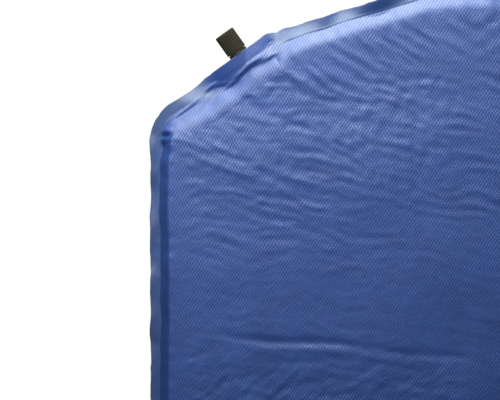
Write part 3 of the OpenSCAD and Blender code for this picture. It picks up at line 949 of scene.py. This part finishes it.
def weave_material(name, dark, mid, light, flange, sheen=0.08, weave=1.0, rough=0.50):
    m, nt, bs = new_mat(name)
    geo = N(nt, "ShaderNodeNewGeometry")
    tc = N(nt, "ShaderNodeTexCoord")
    # the weave wanders a little, as cloth laid on foam does
    no = N(nt, "ShaderNodeTexNoise")
    no.inputs["Scale"].default_value = 22
    no.inputs["Detail"].default_value = 1
    nt.links.new(tc.outputs["Object"], no.inputs["Vector"])
    sub = N(nt, "ShaderNodeVectorMath", operation="SUBTRACT")
    sub.inputs[1].default_value = (0.5, 0.5, 0.5)
    nt.links.new(no.outputs["Color"], sub.inputs[0])
    scl = N(nt, "ShaderNodeVectorMath", operation="SCALE")
    scl.inputs["Scale"].default_value = 0.0028
    nt.links.new(sub.outputs[0], scl.inputs[0])
    add = N(nt, "ShaderNodeVectorMath", operation="ADD")
    nt.links.new(tc.outputs["Object"], add.inputs[0])
    nt.links.new(scl.outputs[0], add.inputs[1])
    sep = N(nt, "ShaderNodeSeparateXYZ")
    nt.links.new(add.outputs[0], sep.inputs[0])
    x, y = sep.outputs[0], sep.outputs[1]
    w1 = wave_at(nt, x, y, 0.3315, -0.2170)
    w2 = wave_at(nt, x, y, 0.3804, 0.1790)
    w3 = wave_at(nt, x, y, 0.334, -0.340, 0.8)
    su = math_node(nt, "MULTIPLY_ADD", w3, 0.25, math_node(nt, "MULTIPLY_ADD", w2, 0.72, w1))
    # bright dashes: peaks of the two waves together
    dash = N(nt, "ShaderNodeMapRange")
    dash.interpolation_type = "SMOOTHSTEP"
    dash.inputs["From Min"].default_value = -1.25
    dash.inputs["From Max"].default_value = 1.35
    nt.links.new(su, dash.inputs["Value"])
    pat = dash.outputs[0]
    # single yarns
    yarn = wave_at(nt, x, y, 2.1, 0.35)
    yarn2 = wave_at(nt, x, y, -0.3, 2.3)
    weld = N(nt, "ShaderNodeAttribute", attribute_name="weld")
    wl = weld.outputs["Fac"]
    # slow colour variation and faint blotches
    bl = N(nt, "ShaderNodeTexNoise")
    bl.inputs["Scale"].default_value = 34
    bl.inputs["Detail"].default_value = 4
    nt.links.new(tc.outputs["Object"], bl.inputs["Vector"])
    blv = math_node(nt, "MULTIPLY_ADD", bl.outputs["Fac"], 0.5, 0.75)
    col = mix_col(nt, pat, dark, light)
    tt = N(nt, "ShaderNodeAttribute", attribute_name="taut")
    soft = mix_col(nt, math_node(nt, "MULTIPLY_ADD", tt.outputs["Fac"], 0.62, 0.30), col, mid)
    # painted shade: where the "side" attribute is set, the colour is pulled towards the dark weave colour
    sd = N(nt, "ShaderNodeAttribute", attribute_name="side")
    soft = mix_col(nt, math_node(nt, "MULTIPLY", sd.outputs["Fac"], 0.8), soft, dark)
    fl = mix_col(nt, 0.85, soft, flange)
    cl = mix_col(nt, wl, soft, fl)
    mul = N(nt, "ShaderNodeVectorMath", operation="SCALE")
    nt.links.new(cl, mul.inputs[0])
    nt.links.new(blv, mul.inputs["Scale"])
    nt.links.new(mul.outputs[0], bs.inputs["Base Color"])
    r1 = math_node(nt, "MULTIPLY_ADD", pat, -0.10, rough + 0.05)
    r2 = math_node(nt, "MULTIPLY_ADD", wl, -0.04, r1)
    nt.links.new(r2, bs.inputs["Roughness"])
    bs.inputs["IOR"].default_value = 1.74
    slack = math_node(nt, "SUBTRACT", 1.0, math_node(nt, "MAXIMUM", math_node(nt, "MULTIPLY", wl, 0.75), math_node(nt, "MULTIPLY", tt.outputs["Fac"], 0.7)))
    even = math_node(nt, "MULTIPLY_ADD", math_node(nt, "SUBTRACT", pat, 0.45), slack, 0.45)
    sp = math_node(nt, "MULTIPLY_ADD", even, 0.70 * weave, 0.46)
    # painted shade also takes away part of the specular where "side" is set
    sp = math_node(nt, "MULTIPLY", sp, math_node(nt, "MULTIPLY_ADD", sd.outputs["Fac"], -0.45, 1.0))
    sp = math_node(nt, "ADD", math_node(nt, "MULTIPLY", wl, 0.12), sp)
    nt.links.new(sp, bs.inputs["Specular IOR Level"])
    bs.inputs["Sheen Weight"].default_value = sheen
    bs.inputs["Sheen Roughness"].default_value = 0.4
    bs.inputs["Sheen Tint"].default_value = (0.75, 0.82, 1.0, 1)
    # relief
    keep = math_node(nt, "MULTIPLY_ADD", wl, -0.72, 1.0)
    taut = N(nt, "ShaderNodeAttribute", attribute_name="taut")
    ease = math_node(nt, "MULTIPLY_ADD", taut.outputs["Fac"], -0.75, 1.0)
    h = math_node(nt, "MULTIPLY", math_node(nt, "MULTIPLY", pat, keep), ease)
    h = math_node(nt, "MULTIPLY_ADD", yarn, 0.05, h)
    h = math_node(nt, "MULTIPLY_ADD", yarn2, 0.05, h)
    fine = N(nt, "ShaderNodeTexNoise")
    fine.inputs["Scale"].default_value = 130
    fine.inputs["Detail"].default_value = 3
    nt.links.new(tc.outputs["Object"], fine.inputs["Vector"])
    h = math_node(nt, "MULTIPLY_ADD", fine.outputs["Fac"], 1.2, h)
    bp = N(nt, "ShaderNodeBump")
    bp.inputs["Strength"].default_value = 0.55 * weave
    bp.inputs["Distance"].default_value = 0.00022
    nt.links.new(h, bp.inputs["Height"])
    nt.links.new(bp.outputs[0], bs.inputs["Normal"])
    return m


def plastic(name, base, rough=0.45, grain=0.00004, scale=900, valley_shade=0.0):
    m, nt, bs = new_mat(name)
    tc = N(nt, "ShaderNodeTexCoord")
    no = N(nt, "ShaderNodeTexNoise")
    no.inputs["Scale"].default_value = scale
    no.inputs["Detail"].default_value = 3
    nt.links.new(tc.outputs["Object"], no.inputs["Vector"])
    big = N(nt, "ShaderNodeTexNoise")
    big.inputs["Scale"].default_value = 160
    nt.links.new(tc.outputs["Object"], big.inputs["Vector"])
    c = mix_col(nt, big.outputs["Fac"], tuple(v * 0.8 for v in base), tuple(v * 1.25 for v in base))
    geo = N(nt, "ShaderNodeNewGeometry")
    wear = N(nt, "ShaderNodeMapRange")
    wear.inputs["From Min"].default_value = 0.52
    wear.inputs["From Max"].default_value = 0.62
    nt.links.new(geo.outputs["Pointiness"], wear.inputs["Value"])
    worn = mix_col(nt, math_node(nt, "MULTIPLY", wear.outputs[0], 0.5), c, tuple(min(1, v * 2.4 + 0.02) for v in base))
    # painted shade: the grip's valleys are darkened to near black and lose most of their specular
    if valley_shade:
        va = N(nt, "ShaderNodeAttribute", attribute_name="valley_shade")
        worn = mix_col(nt, math_node(nt, "MULTIPLY", va.outputs["Fac"], valley_shade), worn, tuple(v * 0.06 for v in base))
        sp = math_node(nt, "MULTIPLY_ADD", va.outputs["Fac"], -0.48, 0.55)
        nt.links.new(sp, bs.inputs["Specular IOR Level"])
    nt.links.new(worn, bs.inputs["Base Color"])
    r = math_node(nt, "MULTIPLY_ADD", no.outputs["Fac"], 0.16, rough - 0.08)
    nt.links.new(r, bs.inputs["Roughness"])
    bp = N(nt, "ShaderNodeBump")
    bp.inputs["Strength"].default_value = 0.5
    bp.inputs["Distance"].default_value = grain
    nt.links.new(no.outputs["Fac"], bp.inputs["Height"])
    nt.links.new(bp.outputs[0], bs.inputs["Normal"])
    return m


def foam_mat():
    m, nt, bs = new_mat("foam")
    tc = N(nt, "ShaderNodeTexCoord")
    vo = N(nt, "ShaderNodeTexVoronoi")
    vo.inputs["Scale"].default_value = 1400
    nt.links.new(tc.outputs["Object"], vo.inputs["Vector"])
    c = mix_col(nt, vo.outputs["Distance"], (0.55, 0.46, 0.24), (0.86, 0.80, 0.56))
    nt.links.new(c, bs.inputs["Base Color"])
    bs.inputs["Roughness"].default_value = 0.95
    bp = N(nt, "ShaderNodeBump")
    bp.inputs["Distance"].default_value = 0.0004
    nt.links.new(vo.outputs["Distance"], bp.inputs["Height"])
    nt.links.new(bp.outputs[0], bs.inputs["Normal"])
    return m


M_TOP = weave_material("cover_blue", (0.020, 0.066, 0.290), (0.035, 0.096, 0.395), (0.052, 0.132, 0.505), (0.036, 0.098, 0.305))
M_UNDER = weave_material("cover_under", (0.014, 0.020, 0.060), (0.022, 0.032, 0.09), (0.04, 0.055, 0.13), (0.03, 0.04, 0.09), weave=0.8)
M_CAP = plastic("cap_plastic", (0.062, 0.056, 0.034), 0.38, valley_shade=1.0)

# the cap: bore, inner face of its crown, mouth and hole (radii and axial places)
BORE, CROWN, MOUTH, HOLE = 7.95, 19.3, 5.2, 3.4
M_BODY = plastic("valve_plastic", (0.018, 0.022, 0.020), 0.40)
M_SEAL = plastic("seal_rubber", (0.020, 0.020, 0.020), 0.62)
M_FOAM = foam_mat()

# -------------------------------------------------------------------- covers
top = cloth("mat_top", 2.45, 5.8, 2.45, 7.0, top_z, 1)
top.data.materials.append(M_TOP)
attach(top, "mattress")
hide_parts("top_cover")

bot = cloth("mat_bottom", 5.0, 8.0, 5.0, 9.0, bottom_z, -1)
bot.data.materials.append(M_UNDER)
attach(bot, "mattress")
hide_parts("bottom_cover")


def foam_slab():
    """The foam inside: a slab with softened edges, a little inside the covers."""
    s, nu, nv = make_grid(9, 14, 9, 16)
    P0, NN = at_s(s)
    prof = [(21, 0), (21.6, 4.2), (24, 7.6), (28, 9.6), (37, 10.6)]
    rings = [(a, -z) for a, z in prof[::-1]] + prof[1:]
    n = len(s)
    e = s_dist(s, S_V)
    pull = 42 * bump(e + 28, 62)
    V = []
    for a, z in rings:
        aa = np.maximum(a + pull, 0)
        V.append(np.column_stack([P0 + NN * aa[:, None], np.full(n, ZW + z)]))
    V = np.concatenate(V)
    k = np.arange(n)
    k1 = (k + 1) % n
    F = []
    for r in range(len(rings) - 1):
        F += np.column_stack([r * n + k, r * n + k1, (r + 1) * n + k1, (r + 1) * n + k])[:, ::-1].tolist()
    F.append(list(range(n)))
    F.append(list(range((len(rings) - 1) * n, len(rings) * n))[::-1])
    me = bpy.data.meshes.new("foam_slab")
    me.from_pydata((V * MM).tolist(), [], F)
    me.update()
    ob = bpy.data.objects.new("foam_slab", me)
    bpy.context.scene.collection.objects.link(ob)
    me.materials.append(M_FOAM)
    return ob


foam = foam_slab()
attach(foam, "mattress")
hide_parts("foam_core")


# ----------------------------------------------------------------- hard parts
def paint(node, mat):
    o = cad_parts[node]
    if not o.material_slots:
        o.data.materials.append(mat)
    for sl in o.material_slots:
        sl.material = mat


for node in ("valve_base", "valve_stem"):
    paint(node, M_BODY)
for node in ("stem_o_ring", "plug_seal", "cap_washer"):
    paint(node, M_SEAL)
paint("valve_cap", M_CAP)


def grip_cap():
    """The screw cap: 28 rounded ribs with softened ends, a recessed mouth and the bore behind it."""
    n_rib, per = 28, 10
    R, DEEP = 9.7, 0.62
    z0, z1 = 2.8, 23.3
    n = n_rib * per
    ang = np.arange(n) * 2 * math.pi / n
    ph = np.arange(n) % per / per
    # a rounded crest and a narrow valley
    val = np.clip(np.exp(-(((ph - 0.5) / 0.25) ** 2)), 0, 1)
    rows = []

    def row(r, z, k=0.0):
        q = r - DEEP * k * val
        rows.append(np.column_stack([q * np.cos(ang), q * np.sin(ang), np.full(n, z)]))

    # up the bore from the open end, out over the skirt, along the grip, into the mouth
    for r, z in ((BORE, CROWN), (BORE, z0 + 0.5), (BORE + 0.25, z0)):
        row(r, z)
    row(R - 0.62, z0)
    row(R - 0.30, z0 + 0.10, 0.15)
    row(R - 0.08, z0 + 0.32, 0.55)
    row(R, z0 + 0.7, 1.0)
    for t in np.linspace(0.08, 0.92, 9):
        row(R, z0 + 0.7 + (z1 - z0 - 1.9) * t, 1.0)
    row(R, z1 - 1.1, 1.0)
    row(R - 0.07, z1 - 0.72, 0.9)
    row(R - 0.26, z1 - 0.36, 0.6)
    row(R - 0.60, z1 - 0.10, 0.2)
    row(R - 1.1, z1)
    row(MOUTH + 0.35, z1)
    row(MOUTH + 0.1, z1 - 0.10)
    row(MOUTH, z1 - 0.35)
    row(MOUTH, z1 - 2.0)
    row(MOUTH - 0.2, z1 - 2.2)
    row(HOLE + 0.25, z1 - 2.2)
    row(HOLE, z1 - 2.4)
    row(HOLE, CROWN)
    V = np.concatenate(rows)
    k = np.arange(n)
    k1 = (k + 1) % n
    m = len(rows)
    q = [np.column_stack([r * n + k, r * n + k1, ((r + 1) % m) * n + k1, ((r + 1) % m) * n + k]) for r in range(m)]
    ax = np.array([V_OUT[0], V_OUT[1], 0.0])
    sx = np.array([V_ALONG[0], V_ALONG[1], 0.0])
    up_ = np.array([0.0, 0.0, 1.0])
    P = np.array([V0[0], V0[1], ZW]) + V[:, :1] * sx + V[:, 1:2] * up_ + V[:, 2:] * ax
    me = bpy.data.meshes.new("grip_cap")
    me.from_pydata((P * MM).tolist(), [], np.concatenate(q).tolist())
    me.update()
    me.validate()
    bm = bmesh.new()
    bm.from_mesh(me)
    bmesh.ops.recalc_face_normals(bm, faces=bm.faces)
    bm.to_mesh(me)
    bm.free()
    me.shade_smooth()
    ob = bpy.data.objects.new("grip_cap", me)
    bpy.context.scene.collection.objects.link(ob)
    me.materials.append(M_CAP)
    # where the grip's valleys lie, for painted shade there
    at = me.attributes.new("valley_shade", "FLOAT", "POINT")
    k_all = np.zeros(len(V))
    rr = np.hypot(V[:, 0], V[:, 1])
    grip_z = (V[:, 2] > z0 + 0.3) & (V[:, 2] < z1 - 0.3) & (rr > 8.5)
    k_all[grip_z] = np.tile(val, m)[grip_z]
    at.data.foreach_set("value", k_all.astype(np.float32))
    return ob


cap_ob = grip_cap()
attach(cap_ob, "cap")
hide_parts("valve_cap")

# --------------------------------------------------------------------- studio
fl_me = bpy.data.meshes.new("floor")
S = 40.0
fl_me.from_pydata([(-S, -S, -0.0008), (S, -S, -0.0008), (S, S, -0.0008), (-S, S, -0.0008)], [], [(0, 1, 2, 3)])
floor = bpy.data.objects.new("floor", fl_me)
bpy.context.scene.collection.objects.link(floor)
fm = bpy.data.materials.new("floor")
fm.use_nodes = True
nt = fm.node_tree
for n in list(nt.nodes):
    nt.nodes.remove(n)
out = nt.nodes.new("ShaderNodeOutputMaterial")
dif = nt.nodes.new("ShaderNodeBsdfDiffuse")
dif.inputs[0].default_value = (0.8, 0.8, 0.8, 1)
em = nt.nodes.new("ShaderNodeEmission")
em.inputs[0].default_value = (1, 1, 1, 1)
em.inputs[1].default_value = 1.12
mx = nt.nodes.new("ShaderNodeMixShader")
lp = nt.nodes.new("ShaderNodeLightPath")
m2 = nt.nodes.new("ShaderNodeMixShader")
m2.inputs[0].default_value = 0.88
nt.links.new(dif.outputs[0], m2.inputs[1])
nt.links.new(em.outputs[0], m2.inputs[2])
dif2 = nt.nodes.new("ShaderNodeBsdfDiffuse")
dif2.inputs[0].default_value = (0.10, 0.11, 0.14, 1)
nt.links.new(lp.outputs["Is Camera Ray"], mx.inputs[0])
nt.links.new(dif2.outputs[0], mx.inputs[1])
nt.links.new(m2.outputs[0], mx.inputs[2])
nt.links.new(mx.outputs[0], out.inputs[0])
floor.data.materials.append(fm)

world = bpy.data.worlds.new("studio")
bpy.context.scene.world = world
world.use_nodes = True
nt = world.node_tree
for n in list(nt.nodes):
    nt.nodes.remove(n)
out = nt.nodes.new("ShaderNodeOutputWorld")
bg1 = nt.nodes.new("ShaderNodeBackground")
bg1.inputs[0].default_value = (0.80, 0.88, 1.0, 1)
bg1.inputs[1].default_value = 0.025
bg2 = nt.nodes.new("ShaderNodeBackground")
bg2.inputs[0].default_value = (1, 1, 1, 1)
bg2.inputs[1].default_value = 1.0
mx = nt.nodes.new("ShaderNodeMixShader")
lp = nt.nodes.new("ShaderNodeLightPath")
nt.links.new(lp.outputs["Is Camera Ray"], mx.inputs[0])
nt.links.new(bg1.outputs[0], mx.inputs[1])
nt.links.new(bg2.outputs[0], mx.inputs[2])
nt.links.new(mx.outputs[0], out.inputs[0])


def area(name, loc, target, sx, sy, power, col=(1, 1, 1)):
    li = bpy.data.lights.new(name, "AREA")
    li.shape = "RECTANGLE"
    li.size, li.size_y = sx, sy
    li.energy = power
    li.color = col
    ob = bpy.data.objects.new(name, li)
    bpy.context.scene.collection.objects.link(ob)
    ob.location = loc
    d = Vector(target) - Vector(loc)
    ob.rotation_euler = d.to_track_quat("-Z", "Y").to_euler()
    ob.visible_camera = False
    return ob


area("key", (-0.3, 1.50, 0.22), (-0.22, 0.84, 0.02), 0.8, 0.34, 4.7, (0.97, 1.02, 0.93))
area("low", (-0.23, 2.2, 0.17), (-0.22, 0.84, 0.02), 0.14, 0.06, 5.6, (0.97, 1.02, 0.93))
area("top", (-0.36, 1.26, 0.62), (-0.25, 0.82, 0.02), 0.7, 0.45, 3.8, (0.97, 1.02, 0.96))
fill = area("fill", (-0.32, 1.10, 0.58), (-0.26, 0.80, 0.02), 0.7, 0.4, 1.55)
fill.visible_glossy = False
# the foot half has its own lights, with narrow beams that stay off the head
for nm, loc, aim, sx, sy, power, beam in (
    ("foot_top", (0.0, -0.34, 1.15), (0.0, -0.34, 0.0), 0.7, 1.0, 1.5, 32),
    ("foot_left", (-1.3, -0.40, 0.45), (-0.2, -0.40, 0.0), 0.8, 0.3, 0.55, 34),
    ("foot_right", (1.3, -0.40, 0.45), (0.2, -0.40, 0.0), 0.8, 0.3, 0.55, 34),
    ("foot_end", (0.0, -2.0, 0.60), (0.0, -0.95, 0.0), 0.6, 0.3, 0.35, 26),
):
    la = area(nm, loc, aim, sx, sy, power)
    la.data.spread = math.radians(beam)

cam_d = bpy.data.cameras.new("cam")
cam_d.lens = 200
cam_d.sensor_width = 36
cam = bpy.data.objects.new("cam", cam_d)
bpy.context.scene.collection.objects.link(cam)
TILT = math.radians(3)
TARGET = Vector((-208, 749.7, 22)) * MM
dist = 0.230 / math.tan(math.atan(18 / 200))
back = Vector((0, math.sin(TILT), math.cos(TILT)))
up = Vector((0, math.cos(TILT), -math.sin(TILT)))
right = up.cross(back)
cam.matrix_world = Matrix.Translation(TARGET + back * dist) @ Matrix(
    (
        (right[0], up[0], back[0], 0),
        (right[1], up[1], back[1], 0),
        (right[2], up[2], back[2], 0),
        (0, 0, 0, 1),
    )
)
cam_d.clip_start = 0.01
cam_d.clip_end = 200
bpy.context.scene.camera = cam
bpy.context.scene.view_settings.view_transform = "Standard"
